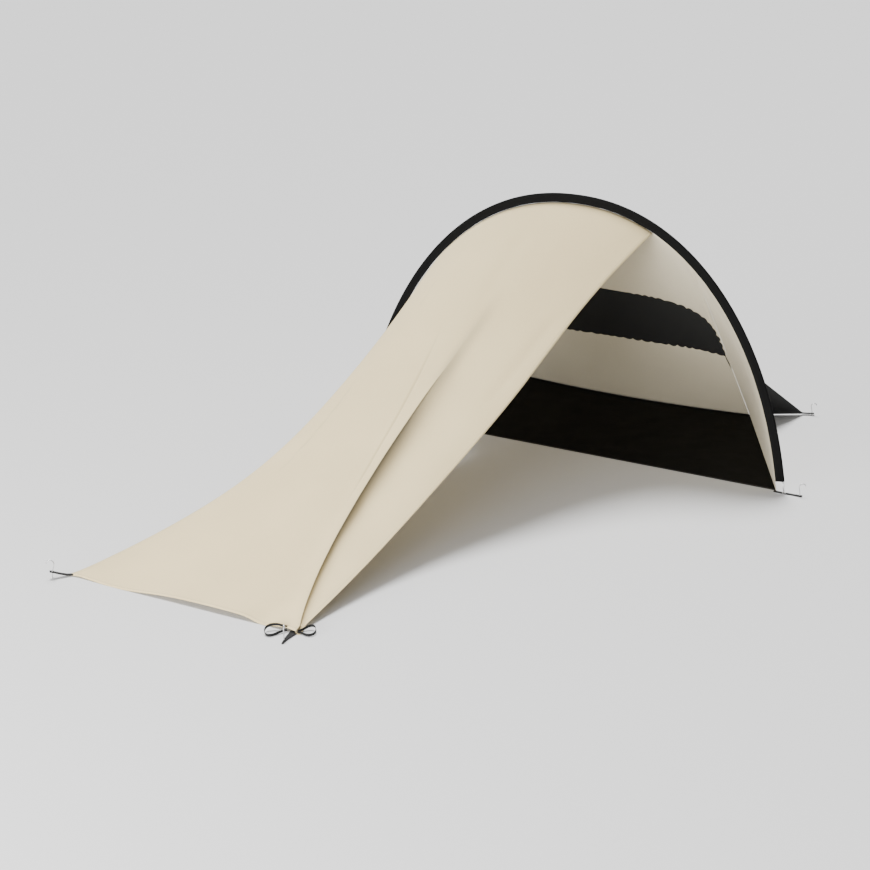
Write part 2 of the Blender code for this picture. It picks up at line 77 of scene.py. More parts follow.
class Finish:
    def __init__(self, name, fixed):
        self.material = bpy.data.materials.new(name)
        self.material.use_nodes = True
        self.tree = self.material.node_tree
        self.shader = self.tree.nodes["Principled BSDF"]
        for socket, value in fixed.items():
            self.shader.inputs[socket].default_value = value

    def add(self, kind, settings=None, inputs=None, out=0):
        node = self.tree.nodes.new(kind)
        for key, value in (settings or {}).items():
            setattr(node, key, value)
        for key, value in (inputs or {}).items():
            if isinstance(value, Wire):
                self.tree.links.new(value.socket, node.inputs[key])
            else:
                node.inputs[key].default_value = value
        return Wire(self, node.outputs[out])

    def feed(self, socket, wire):
        self.tree.links.new(wire.socket, self.shader.inputs[socket])

    def clothUv(self):
        # metres across and along the cut cloth
        cloth = self.add("ShaderNodeUVMap", {"uv_map": "cloth"})
        return [self.add("ShaderNodeSeparateXYZ", {}, {0: cloth}, out=i) for i in (0, 1)]

    def place(self):
        return self.add("ShaderNodeTexCoord", {}, {}, out=3)

    def marked(self, name):
        return self.add("ShaderNodeAttribute", {"attribute_name": name}, {}, out=2)

    def sine(self, wire):
        return self.add("ShaderNodeMath", {"operation": "SINE"}, {0: wire})

    def fromMiddle(self, wire):
        # 0.5 at each whole number, 0 half-way between
        part = self.add("ShaderNodeMath", {"operation": "FRACT"}, {0: wire})
        return self.add("ShaderNodeMath", {"operation": "ABSOLUTE"}, {0: part - 0.5})

    def distance(self, wire, value):
        return self.add("ShaderNodeMath", {"operation": "ABSOLUTE"}, {0: wire - value})

    def noiseOf(self, wire, scale, detail=2.0, roughness=0.5):
        inputs = {"Vector": wire, "Scale": scale, "Detail": detail, "Roughness": roughness}
        return self.add("ShaderNodeTexNoise", {}, inputs)

    def step(self, wire, low, high):
        inputs = {"Value": wire, "From Min": low, "From Max": high}
        return self.add("ShaderNodeMapRange", {"interpolation_type": "SMOOTHSTEP", "clamp": True}, inputs)

    def blend(self, factor, first, second):
        inputs = {0: factor, 6: first, 7: second}
        return self.add("ShaderNodeMix", {"data_type": "RGBA"}, inputs, out=2)

    def relief(self, height, distance, strength=1.0, onto=None):
        inputs = {"Height": height, "Distance": distance, "Strength": strength}
        if onto:
            inputs["Normal"] = onto
        return self.add("ShaderNodeBump", {}, inputs)


def grey(shade, warmth=0.0):
    return (shade * (1 + warmth), shade, shade * (1 - warmth), 1.0)


# finishes

outerTint = {
    "light": (0.760, 0.618, 0.340, 1.0),
    "dark": (0.715, 0.578, 0.315, 1.0),
    "thread": (0.50, 0.40, 0.22, 1.0),
    # painted shade colour, laid into the shade sheet's fold and creases
    "paintedShade": (0.10, 0.095, 0.080, 1.0),
}
# a greyer, less yellow copy of the canvas colours, used on the back and side panels
greyerTint = {
    "light": (0.690, 0.620, 0.465, 1.0),
    "dark": (0.650, 0.582, 0.430, 1.0),
    "thread": (0.46, 0.40, 0.28, 1.0),
    # painted shade colour, as on the outer canvas
    "paintedShade": (0.10, 0.095, 0.080, 1.0),
}
canvasLook = {
    "threadPitch": 0.0009,
    "ripstopPitch": 0.0060,
    "stitchPitch": 0.0036,
    "hemWidth": 0.018,
    "seamFromHem": 0.0025,
}


def makeCanvas(name, tint):
    look = canvasLook
    finish = Finish(name, {"Sheen Weight": 0.10, "Sheen Roughness": 0.5, "Specular IOR Level": 0.3})
    across, along = finish.clothUv()
    place = finish.place()
    turns = 2 * math.pi / look["threadPitch"]
    weave = finish.sine(across * turns) * finish.sine(along * turns)
    warpLine = finish.step(finish.fromMiddle(across / look["ripstopPitch"]), 0.44, 0.5)
    weftLine = finish.step(finish.fromMiddle(along / look["ripstopPitch"]), 0.44, 0.5)
    cloud = finish.noiseOf(place, 2.6, 3.0)
    slub = finish.noiseOf(place, 90.0, 1.0)
    gap, run = finish.marked("hemGap"), finish.marked("hemRun")
    row = finish.distance(gap, look["hemWidth"] - look["seamFromHem"])
    dash = finish.fromMiddle(run / look["stitchPitch"])
    stitch = (1.0 - finish.step(row, 0.0004, 0.0009)) * (1.0 - finish.step(dash, 0.34, 0.40))
    pulled = 1.0 - finish.step(row, 0.0, 0.0035)
    hem = 1.0 - finish.step(gap, look["hemWidth"] - 0.0005, look["hemWidth"] + 0.0005)
    tone = finish.step(cloud * 0.8 + slub * 0.2, 0.3, 0.7)
    plain = finish.blend(tone, tint["dark"], tint["light"])
    # painted shade: the cavity mark darkens the colour towards dark grey-brown in the shade sheet's fold and creases
    withPaintedShade = finish.blend(finish.marked("paintedShade"), plain, tint["paintedShade"])
    finish.feed("Base Color", finish.blend(stitch * 0.55 + pulled * 0.10, withPaintedShade, tint["thread"]))
    finish.feed("Roughness", 0.72 + cloud * 0.14)
    pucker = finish.noiseOf(finish.add("ShaderNodeCombineXYZ", {}, {0: run, 1: gap * 0.3}), 130.0, 1.0)
    crumple = finish.relief(finish.noiseOf(place, 9.0, 3.0, 0.55), 0.005, 0.30)
    seam = finish.relief(hem * 0.7 - pulled * 0.6 + pucker * pulled * 0.9, 0.0008, 0.8, crumple)
    fine = finish.relief(weave * 0.3 + (warpLine + weftLine) * 0.35 + stitch, 0.00022, 0.7, seam)
    finish.feed("Normal", fine)
    return finish.material


def makeBlackCloth(name, shade, hemShade, pitch, crumpling, gloss):
    finish = Finish(name, {"Specular IOR Level": gloss})
    across, along = finish.clothUv()
    place = finish.place()
    turns = 2 * math.pi / pitch
    weave = finish.sine(across * turns) * finish.sine(along * turns)
    cloud = finish.noiseOf(place, 5.0, 3.0)
    gap, run = finish.marked("hemGap"), finish.marked("hemRun")
    row = finish.distance(gap, 0.0105)
    stitch = (1.0 - finish.step(row, 0.0004, 0.0009)) * (1.0 - finish.step(finish.fromMiddle(run / 0.0036), 0.34, 0.4))
    hem = 1.0 - finish.step(gap, 0.012, 0.0128)
    plain = finish.blend(finish.step(cloud, 0.3, 0.75), grey(shade), grey(shade * 1.3))
    finish.feed("Base Color", finish.blend(stitch * 0.3 + hem * 0.6, plain, grey(hemShade)))
    finish.feed("Roughness", 0.58 + cloud * 0.2)
    crumple = finish.relief(finish.noiseOf(place, 12.0, 3.0, 0.55), 0.005, crumpling)
    finish.feed("Normal", finish.relief(weave * 0.25 + hem + stitch, 0.0003, 0.7, crumple))
    return finish.material


def makeNetting():
    pitch = 0.0026
    finish = Finish("netting", {"Specular IOR Level": 0.25})
    across, along = finish.clothUv()
    one = finish.fromMiddle((across + along) / pitch)
    two = finish.fromMiddle((across - along) / pitch)
    strands = finish.step(one, 0.18, 0.30) + finish.step(two, 0.18, 0.30)
    solid = finish.add("ShaderNodeClamp", {}, {"Value": strands})
    finish.feed("Base Color", finish.blend(solid, grey(0.010), grey(0.020)))
    finish.feed("Alpha", 0.93 + solid * 0.07)
    finish.feed("Roughness", 0.8 - solid * 0.15)
    finish.feed("Normal", finish.relief(solid, 0.0003, 0.8))
    return finish.material


def makeWebbing():
    finish = Finish("webbing", {"Specular IOR Level": 0.3})
    across, along = finish.clothUv()
    slant = finish.fromMiddle(across / 0.0046)
    rib = finish.sine((along + slant * 0.0022) * (2 * math.pi / 0.0015))
    cloud = finish.noiseOf(finish.place(), 60.0, 2.0)
    tuft = finish.step(rib, -0.6, 0.8)
    finish.feed("Base Color", finish.blend(tuft * 0.7 + cloud * 0.3, grey(0.009), grey(0.028)))
    finish.feed("Roughness", 0.62 + cloud * 0.2)
    finish.feed("Normal", finish.relief(rib, 0.00035, 0.8))
    return finish.material


def makeMetal(name, shade, stretch, dullness):
    finish = Finish(name, {"Metallic": 1.0})
    place = finish.place()
    drawn = finish.add("ShaderNodeMapping", {}, {"Vector": place, "Scale": (1.0, 1.0, stretch)})
    streak = finish.noiseOf(drawn, 900.0, 2.0)
    dull = finish.noiseOf(place, 45.0, 3.0)
    finish.feed("Base Color", finish.blend(finish.step(dull, 0.35, 0.7), grey(shade * 0.8), grey(shade)))
    finish.feed("Roughness", dullness + dull * 0.14 + streak * 0.08)
    finish.feed("Normal", finish.relief(streak, 0.00004, 0.5))
    return finish.material


canvas = makeCanvas("canvas", outerTint)
# the back and side panels get the greyer copy of the canvas
greyerCanvas = makeCanvas("greyerCanvas", greyerTint)
# one black cloth in two tones: the wings' lighter black is painted light for light they don't get here, and the
# sleeve's darker black is painted shade against its strongly lit top
sleeveBlack = makeBlackCloth("sleeveBlack", 0.0034, 0.0060, 0.0010, 0.30, 0.08)
wingBlack = makeBlackCloth("wingBlack", 0.022, 0.036, 0.0010, 0.30, 0.20)
groundBlack = makeBlackCloth("groundBlack", 0.0045, 0.070, 0.0016, 0.45, 0.06)
netting = makeNetting()
webbing = makeWebbing()
pegMetal = makeMetal("zincedWire", 0.72, 0.06, 0.30)
poleMetal = makeMetal("drawnTube", 0.84, 0.05, 0.22)
print("finishes made")


# shape of the pitched shelter, in metres

arch = {
    "halfWidth": 1.10,
    "height": 1.230,
    "centreDepth": 0.4485,
    "roundness": 0.945,
    "y": -0.45,
    "lean": math.radians(2.4),
}
sleeve = {"radius": 0.0072, "depth": 0.035, "seamHalf": 0.0013, "endHeight": 0.055, "ring": 0.094, "length": 3.50}
ground = {"frontHalf": 1.058, "frontY": -0.436, "rearHalf": 0.627, "rearY": 0.470, "rearSag": 0.046}
crease = {"angle": math.radians(57.4), "stand": 0.0012}
upward = Vector((0.0, 0.0, 1.0))


def lerp(a, b, t):
    return a + (b - a) * t


def easeIn(value, low, high):
    t = min(1.0, max(0.0, (value - low) / (high - low)))
    return t * t * (3 - 2 * t)


def bell(distance, width):
    return math.exp(-((distance / width) ** 2))


def ripple(x, y=0.0, z=0.0):
    return noise.noise(Vector((x, y, z)))


def archFoot():
    share = arch["centreDepth"] / (arch["height"] + arch["centreDepth"])
    return math.asin(share ** (1 / arch["roundness"]))


def archFlat(angle):
    power = arch["roundness"]
    halfAxis = arch["halfWidth"] / math.cos(archFoot()) ** power
    rise = arch["height"] + arch["centreDepth"]
    across = math.copysign(abs(math.cos(angle)) ** power, math.cos(angle)) * halfAxis
    return Vector((across, rise * math.sin(angle) ** power - arch["centreDepth"]))


def archAt(angle, inset=0.0, ahead=0.0):
    tangent = (archFlat(angle + 1e-4) - archFlat(angle - 1e-4)).normalized()
    flat = archFlat(angle) + Vector((-tangent.y, tangent.x)) * inset
    up = Vector((0.0, math.sin(arch["lean"]), math.cos(arch["lean"])))
    front = Vector((0.0, -math.cos(arch["lean"]), math.sin(arch["lean"])))
    return Vector((flat.x, arch["y"], 0.0)) + up * flat.y + front * ahead


def archAngleAt(height):
    low, high = archFoot(), math.pi / 2
    for _ in range(40):
        middle = (low + high) / 2
        low, high = (middle, high) if archAt(middle).z < height else (low, middle)
    return high


def seamLine(angle, ahead):
    # where the panels hang from the sleeve's flat seam
    return archAt(angle, sleeve["depth"] + crease["stand"], ahead)


def normalOf(surface, u, v):
    du = surface(min(u + 1e-3, 1.0), v) - surface(max(u - 1e-3, 0.0), v)
    dv = surface(u, min(v + 1e-3, 1.0)) - surface(u, max(v - 1e-3, 0.0))
    return du.cross(dv).normalized()


def mirrored(surface, sign):
    def place(u, v):
        point = surface(u, v)
        return Vector((point.x * sign, point.y, point.z))
    return place


# making and dressing pieces

def dress(piece, material, nodes=()):
    piece.data.materials.clear()
    piece.data.materials.append(material)
    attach(piece, "root")
    if nodes:
        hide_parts(*nodes)
    return piece


def addObject(bm, name):
    mesh = bpy.data.meshes.new(name)
    bm.to_mesh(mesh)
    bm.free()
    piece = bpy.data.objects.new(name, mesh)
    bpy.context.scene.collection.objects.link(piece)
    piece.data.shade_smooth()
    return piece


def clothGrid(name, across, along, surface, flat, hem=None, thickness=0.0008, closed=False):
    # surface(u, v) is the place, flat(u, v) the metres on the cut cloth, hem(u, v) the (gap, run) of its hem and
    # optionally a third value, the painted shade
    bm = bmesh.new()
    bmesh.ops.create_grid(bm, x_segments=across, y_segments=along, size=0.5)
    cloth = bm.loops.layers.uv.new("cloth")
    marks = [bm.verts.layers.float.new(mark) for mark in ("hemGap", "hemRun", "paintedShade")]
    for face in bm.faces:
        for loop in face.loops:
            loop[cloth].uv = flat(loop.vert.co.x + 0.5, loop.vert.co.y + 0.5)
    for vert in bm.verts:
        u, v = vert.co.x + 0.5, vert.co.y + 0.5
        for mark, value in zip(marks, hem(u, v) if hem else (1.0, 0.0)):
            vert[mark] = value
        vert.co = surface(u, v)
    if closed:
        bmesh.ops.remove_doubles(bm, verts=bm.verts, dist=1e-6)
        bmesh.ops.recalc_face_normals(bm, faces=bm.faces)
    piece = addObject(bm, name)
    solid = piece.modifiers.new("thickness", "SOLIDIFY")
    solid.thickness = thickness
    solid.offset = -1.0 if closed else 0.0
    return piece


def applied(piece):
    # the modifiers' result becomes the mesh
    graph = bpy.context.evaluated_depsgraph_get()
    mesh = bpy.data.meshes.new_from_object(piece.evaluated_get(graph))
    piece.modifiers.clear()
    piece.data = mesh
    return piece


def cutOut(piece, block):
    hole = piece.modifiers.new("hole", "BOOLEAN")
    hole.object = block
    hole.operation = "DIFFERENCE"
    applied(piece)
    bpy.data.objects.remove(block)
    piece.data.shade_smooth()
    return piece


def areaOf(piece):
    return sum(face.area for face in piece.data.polygons)


def declareSheet(piece, settings, area=None):
    area = area or areaOf(piece)
    print("  ", piece.name, "cut", settings["flat"], "area", round(area, 3))


# pole sleeve: round channel, then two layers that close on a flat seam

sleeveCloth = {"flat": (0.094, 3.51), "held": "stretched", "thickness": 0.0008, "pucker": 0.0016, "lines": 36, "rings": 460}


def sleeveRing(p):
    lineShare, radius = 0.36, sleeve["radius"]
    start, end = math.radians(75), math.radians(285)
    near = Vector((sleeve["depth"], sleeve["seamHalf"]))
    if p < lineShare:
        return lerp(near, Vector((radius * math.cos(start), radius * math.sin(start))), p / lineShare)
    if p > 1 - lineShare:
        far = Vector((sleeve["depth"], -sleeve["seamHalf"]))
        share = (p - 1 + lineShare) / lineShare
        return lerp(Vector((radius * math.cos(end), radius * math.sin(end))), far, share)
    turn = lerp(start, end, (p - lineShare) / (1 - 2 * lineShare))
    return Vector((radius * math.cos(turn), radius * math.sin(turn)))


def makeSleeve():
    start = archAngleAt(sleeve["endHeight"])

    def surface(u, v):
        inset, ahead = sleeveRing(u % 1.0)
        slack = easeIn(inset, 0.004, 0.016) * (1 - 0.7 * easeIn(inset, 0.028, 0.035))
        ahead += slack * sleeveCloth["pucker"] * (ripple(v * 95.0, 3.1) + 0.6 * ripple(v * 30.0, 7.7))
        inset += 0.0008 * easeIn(inset, 0.02, 0.035) * ripple(v * 60.0, 1.3)
        return archAt(lerp(math.pi - start, start, v), inset, ahead)

    piece = clothGrid(
        "poleSleeve", sleeveCloth["lines"], sleeveCloth["rings"], surface,
        lambda u, v: (u * sleeve["ring"], v * sleeve["length"]),
        lambda u, v: (0.0345 - sleeveRing(u % 1.0)[0], v * sleeve["length"]),
        sleeveCloth["thickness"], closed=True,
    )
    dress(piece, sleeveBlack, ["pole_sleeve"])
    declareSheet(piece, sleeveCloth)
    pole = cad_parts["arch_pole"]
    pole.data.materials.clear()
    pole.data.materials.append(poleMetal)


makeSleeve()
print("sleeve done")


# groundsheet

floorCloth = {"flat": (2.116, 0.906), "held": "laid", "thickness": 0.0010, "lift": 0.0035}


def rearEdge(share):
    spread = 2 * share - 1
    return Vector((ground["rearHalf"] * spread, ground["rearY"] - ground["rearSag"] * (1 - spread ** 2), 0.0))


def makeGround():
    def surface(u, v):
        front = Vector((ground["frontHalf"] * (2 * u - 1), ground["frontY"], 0.0))
        point = lerp(front, rearEdge(u), v)
        edge = easeIn(min(u, 1 - u, v, 1 - v), 0.0, 0.12)
        rumple = 0.5 + ripple(point.x * 4.0, point.y * 4.0) + 0.5 * ripple(point.x * 11.0, point.y * 11.0, 5.0)
        tucked = 0.0017 * max(easeIn(v, 0.975, 1.0), easeIn(abs(2 * u - 1), 0.98, 1.0))
        return point + upward * (0.0010 + tucked + max(0.0, floorCloth["lift"] * edge * rumple))

    def hem(u, v):
        depth = ground["rearY"] - ground["frontY"]
        return v * depth, u * ground["frontHalf"] * 2

    def flat(u, v):
        point = lerp(Vector((ground["frontHalf"] * (2 * u - 1), 0.0)), Vector((ground["rearHalf"] * (2 * u - 1), 0.9)), v)
        return point.x + 1.1, point.y

    piece = clothGrid("groundSheet", 120, 70, surface, flat, hem, floorCloth["thickness"])
    dress(piece, groundBlack, ["groundsheet"])
    declareSheet(piece, floorCloth)


makeGround()
print("groundsheet done")


# slanted back with its netting window

backCloth = {"flat": (1.26, 1.45), "held": "stretched", "billow": 0.004, "puckerDepth": 0.013, "puckerWidth": 0.06}
window = {
    "flat": (1.24, 0.48), "held": "stretched",
    "halfWidth": 0.609, "sill": 0.414, "height": 0.297, "squareness": 4.6, "sillRise": 0.009,
    "waveLength": 0.046, "waveDepth": 0.0115, "netBehind": 0.0016, "overlap": 0.012,
    "tail": [(0.002, -0.012), (0.0065, -0.040), (0.0045, -0.090), (0.0000, -0.055), (-0.006, -0.018)],
}


def backTop(share):
    return seamLine(lerp(math.pi - crease["angle"], crease["angle"], share), -0.00125)


def backAt(u, v):
    share = lerp(0.0010, 0.9990, u)
    point = lerp(rearEdge(share) + upward * 0.0032, backTop(share), v)
    fromCrease = min(u, 1 - u) * 1.25
    pucker = bell(fromCrease, backCloth["puckerWidth"]) * easeIn(v, 0.25, 0.7) * (1 - easeIn(v, 0.97, 1.0))
    lift = pucker * backCloth["puckerDepth"] * ripple(fromCrease * 55.0, v * 6.0, 1.7 + round(u))
    billow = backCloth["billow"] * math.sin(math.pi * u) * math.sin(math.pi * v)
    return point + Vector((0.0, 0.707, 0.707)) * (lift * min(1.0, fromCrease / 0.02) + billow)


def backNear(x, z):
    u, v = 0.5 + x / 1.25, z
    for _ in range(20):
        miss = Vector((x, 0.0, z)) - backAt(u, v)
        u = min(1.0, max(0.0, u + miss.x / 1.25))
        v = min(1.0, max(0.0, v + miss.z / 1.1))
    return u, v


def scallop(run):
    uneven = ripple(run * 7.0, 8.3)
    lobe = abs(math.sin(math.pi * (run / window["waveLength"] + 0.7 * uneven)))
    return window["waveDepth"] * (lobe ** 0.7 - 0.6) * (0.75 + 0.9 * ripple(run * 13.0, 2.2))


def windowOutline(steps):
    # from the right end of the sill over the dome and back along the sill, as (x, z)
    half, height, power = window["halfWidth"], window["height"], 2 / window["squareness"]
    ring = []
    for i in range(steps):
        turn = math.pi * i / steps
        x = math.copysign(abs(math.cos(turn)) ** power, math.cos(turn)) * half
        ring.append(Vector((x, window["sill"] + height * math.sin(turn) ** power)))
    sillSteps = steps * 2 // 3
    for i in range(sillSteps):
        x = lerp(-half, half, i / sillSteps)
        ring.append(Vector((x, window["sill"] + window["sillRise"] * bell(abs(x) - 0.44, 0.15))))
    run, waved = 0.0, []
    for i, spot in enumerate(ring):
        step = spot - ring[i - 1] if i else Vector((0.0, 1.0))
        run += step.length if i else 0.0
        outward = Vector((step.y, -step.x)).normalized()
        ends = easeIn(abs(abs(spot.x) - half) + abs(spot.y - window["sill"]), 0.01, 0.04)
        waved.append(spot + outward * (scallop(run) * ends))
    corner = Vector((half, window["sill"]))
    left = [Vector((-corner.x - dx, corner.y + dz)) for dx, dz in window["tail"]]
    right = [Vector((corner.x + dx, corner.y + dz)) for dx, dz in reversed(window["tail"])]
    return waved[:steps] + left + waved[steps:] + right


def outlineBlock(name, ring, depth):
    bm = bmesh.new()
    face = bm.faces.new([bm.verts.new((spot.x, -depth / 2, spot.y)) for spot in ring])
    made = bmesh.ops.extrude_face_region(bm, geom=[face])
    moved = [item for item in made["geom"] if isinstance(item, bmesh.types.BMVert)]
    bmesh.ops.translate(bm, verts=moved, vec=(0.0, depth, 0.0))
    bmesh.ops.triangulate(bm, faces=[f for f in bm.faces if len(f.verts) > 4])
    bmesh.ops.recalc_face_normals(bm, faces=bm.faces)
    return addObject(bm, name)


def makeBack():
    def spread(u):
        # finer towards the two creases
        return lerp(u, 0.5 - 0.5 * math.cos(math.pi * u), 0.8)

    panel = clothGrid(
        "backPanel", 170, 100, lambda u, v: backAt(spread(u), v),
        lambda u, v: (spread(u) * 1.25, v * 1.30),
        lambda u, v: (min(spread(u), 1 - spread(u)) * 1.25, v * 1.3),
    )
    cutOut(panel, outlineBlock("windowBlock", windowOutline(300), 2.0))
    dress(panel, greyerCanvas, ["back_panel"])
    declareSheet(panel, backCloth, areaOf(panel) / 2)


def makeNet():
    half, power = window["halfWidth"] + 0.010, window["squareness"]

    def surface(a, b):
        x = lerp(-half, half, a)
        dome = max(0.0, 1 - abs(x / half) ** power) ** (1 / power)
        tail = 0.092 * bell(abs(abs(x) - window["halfWidth"] - 0.004), 0.010)
        low = window["sill"] - window["overlap"] - tail
        z = lerp(low, window["sill"] + (window["height"] + window["overlap"]) * dome, b)
        u, v = backNear(x, z)
        return backAt(u, v) + Vector((0.0, 0.707, 0.707)) * window["netBehind"]

    piece = clothGrid("windowNet", 150, 34, surface, lambda a, b: (a * 1.23, b * 0.42), thickness=0.0005)
    dress(piece, netting, ["window_mesh"])
    declareSheet(piece, window)


makeBack()
makeNet()
print("back done")


# triangular sides and the black wings behind them

sideCloth = {"flat": (0.87, 1.29), "held": "stretched", "billow": 0.005, "puckerDepth": 0.013, "puckerWidth": 0.07}
wingCloth = {
    "flat": (0.24, 0.74), "held": "stretched", "rise": 0.46, "slack": 0.006,
    "apex": Vector((0.868, 0.610, 0.006)), "stand": Vector((0.0045, 0.0045, 0.0)),
}


def creaseFoot():
    return Vector((ground["rearHalf"], ground["rearY"], 0.0034))


def sideAt(u, v):
    foot = max(archFoot(), archAngleAt(0.0034))
    front = seamLine(lerp(foot, crease["angle"] - 0.002, u), -0.00125)
    front.z = max(front.z, 0.0034)
    point = lerp(creaseFoot() + Vector((0.0012, -0.0012, 0.0)), front, lerp(0.004, 1.0, v))
    fromCrease = (1 - u) * v * 0.95
    pucker = bell(fromCrease, sideCloth["puckerWidth"]) * easeIn(v, 0.35, 0.8) * (1 - easeIn(v, 0.97, 1.0))
    lift = pucker * min(1.0, fromCrease / 0.012) * sideCloth["puckerDepth"] * ripple(fromCrease * 48.0, v * 7.0, 6.1)
    billow = sideCloth["billow"] * math.sin(math.pi * u) * math.sin(math.pi * v)
    return point + Vector((0.80, 0.42, 0.42)) * (lift + billow)


def wingAt(u, v):
    foot = creaseFoot()
    low = foot + wingCloth["stand"]
    high = lerp(foot, seamLine(crease["angle"], -0.00125), wingCloth["rise"]) + wingCloth["stand"]
    point = lerp(wingCloth["apex"], lerp(low, high, u), lerp(0.03, 1.0, v))
    point = point + Vector((0.5, -0.6, 0.0)) * (wingCloth["slack"] * math.sin(math.pi * u) * math.sin(math.pi * v))
    point.z = max(point.z, 0.0012)
    return point


def makeSides():
    for side, sign in (("Right", 1.0), ("Left", -1.0)):
        panel = clothGrid(
            "sidePanel" + side, 110, 90, mirrored(sideAt, sign),
            lambda u, v: (u * v, v * 1.1),
            lambda u, v: (min(u, 1 - u) * v * 1.05, v * 1.1),
        )
        dress(panel, greyerCanvas, ["side_panel_" + side.lower()])
        declareSheet(panel, sideCloth)
        wing = clothGrid(
            "cornerWing" + side, 40, 40, mirrored(wingAt, sign),
            lambda u, v: (u * v * 0.5, v * 0.3),
            lambda u, v: (min(u, 1 - u) * v * 0.5, v * 0.3),
        )
        dress(wing, wingBlack, ["wing_" + side.lower()])
        declareSheet(wing, wingCloth)


makeSides()
print("sides done")


# long shade sheet, from the arch to its two pegs

shade = {
    "flat": (1.15, 2.84), "held": "stretched",
    "leftAngle": math.radians(128.4), "rightAngle": math.radians(70.0),
    "leftCorner": Vector((-1.120, -2.663, 0.010)), "rightCorner": Vector((-0.056, -2.636, 0.006)),
    "sag": 0.162, "cutIn": 0.100, "sagShift": 1.19, "frontRise": 0.013,
    "leftTip": Vector((-0.011, -0.006, -0.003)), "rightTip": Vector((0.012, -0.011, -0.002)),
    "leftWaves": (0.009, -0.007, 0.006), "rightWaves": (0.017, 0.010, 0.007, 0.002),
    "hem": 0.018, "length": 2.62, "width": 1.063, "swell": 0.004,
    "columns": 150, "rows": 220,
}
hemDips = [
    {"at": 0.22, "width": 0.16, "drop": 0.012, "forward": 0.010},
    {"at": 0.85, "width": 0.055, "drop": 0.013, "forward": 0.004},
]
fold = {
    "top": 0.636, "start": 0.25, "bend": 2.2, "lap": 0.0030, "rise": 0.009, "riseWidth": 0.045,
    "split": 0.60, "leftCrowd": 1.7, "rightCrowd": 1.9,
}
foldDrops = [(0.17, 0.0), (0.30, 0.018), (0.40, 0.030), (0.56, 0.046), (0.68, 0.034), (0.80, 0.018), (1.0, 0.007)]
foldWidths = [(0.20, 0.070), (0.36, 0.052), (0.48, 0.038), (0.60, 0.028), (0.70, 0.015), (0.82, 0.008), (1.0, 0.004)]
# share of painted shade in the fold's colour, along the sheet's length
foldShades = [(0.18, 0.0), (0.30, 0.26), (0.40, 0.50), (0.55, 0.90), (0.78, 1.0), (0.90, 0.75), (1.0, 0.55)]
fineCreases = [
    {"from": (0.486, 0.296), "to": (0.710, 0.694), "depth": 0.0045, "width": 0.005},
    {"from": (0.140, 0.367), "to": (0.215, 0.626), "depth": 0.0042, "width": 0.005},
    {"from": (0.209, 0.140), "to": (0.228, 0.205), "depth": 0.0020, "width": 0.005},
    {"from": (0.938, 0.200), "to": (0.918, 0.430), "depth": 0.0045, "width": 0.035},
    {"from": (0.560, 0.060), "to": (0.600, 0.240), "depth": 0.0040, "width": 0.050},
]


def readOff(table, v):
    for (v0, a), (v1, b) in zip(table, table[1:]):
        if v < v1:
            return lerp(a, b, easeIn(v, v0, v1))
    return table[-1][1]


def shadeTop(u):
    return seamLine(lerp(shade["leftAngle"], shade["rightAngle"], u), 0.0022)


def sagShare(v):
    k = shade["sagShift"]
    peak = k / (k + 1)
    return v ** k * (1 - v) / (peak ** k * (1 - peak))


def edgeWaves(u, v):
    left = sum(slack * math.sin((i + 2) * math.pi * v) for i, slack in enumerate(shade["leftWaves"]))
    right = sum(slack * math.sin((i + 2) * math.pi * v) for i, slack in enumerate(shade["rightWaves"]))
    return left * (1 - u) - right * u


def shadeBase(u, v):
    corner = lerp(shade["leftCorner"], shade["rightCorner"], u)
    corner = corner + upward * (shade["frontRise"] * math.sin(math.pi * u ** 1.6))
    corner = corner + shade["leftTip"] * easeIn(0.04 - u, 0.0, 0.04) * easeIn(v, 0.975, 1.0)
    corner = corner + shade["rightTip"] * easeIn(u, 0.94, 1.0) * easeIn(v, 0.975, 1.0)
    for dip in hemDips:
        near = bell(u - dip["at"], dip["width"]) * easeIn(v, 0.90, 1.0)
        corner = corner - Vector((0.0, dip["forward"], dip["drop"])) * near
    run = shade["leftCorner"] - shadeTop(0.0)
    inward = Vector((-run.y, run.x, 0.0)).normalized()
    point = lerp(shadeTop(u), corner, v)
    point = point + inward * (shade["cutIn"] * (1 - 2 * u) * sagShare(v) + edgeWaves(u, v))
    return point - upward * (shade["sag"] * sagShare(v))


def foldLine(v):
    reach = max(0.0, v - fold["start"]) / (1 - fold["start"])
    return min(0.985, lerp(fold["top"], 1.0, reach ** fold["bend"])) - 0.008 * bell(v - 0.5, 0.2)


def foldShape(offset, v, room):
    # (height, sideways shift) at this distance to the right of the fold's line, with room up to the edge
    sharp = easeIn(v, 0.34, 0.46)
    drop, width = readOff(foldDrops, v), readOff(foldWidths, v)
    rise = fold["rise"] * easeIn(v, 0.26, 0.42)
    if offset <= 0:
        soft = (1 - sharp) * drop * 0.45 * bell(offset, 0.05)
        return rise * bell(offset, fold["riseWidth"]) - soft, fold["lap"] * sharp * bell(offset, 0.007)
    fall = 1 - math.exp(-offset / width)
    back = easeIn(offset, 0.0, max(room * 0.9, 0.02)) if v < 0.98 else 0.0
    start = rise - (1 - sharp) * drop * 0.45
    return lerp(start - (drop + start) * fall, 0.0, back), 0.0


def paintedShadeAt(u, v):
    # painted shade: how far the cloth is tucked away from the light, 0 to 1, darkening its colour in the fold and along
    # the fine creases
    offset = (u - foldLine(v)) * shade["width"]
    share = readOff(foldShades, v)
    width = readOff(foldWidths, v) * 1.1
    tucked = share * (math.exp(-offset / width) if offset > 0 else math.exp(offset / 0.0015))
    soft = 1 - easeIn(v, 0.34, 0.44)
    spread = share * bell(offset - 0.01, 0.030)
    return min(1.0, lerp(tucked, spread, soft) + creaseDepth(u, v, 0.004) * 45)


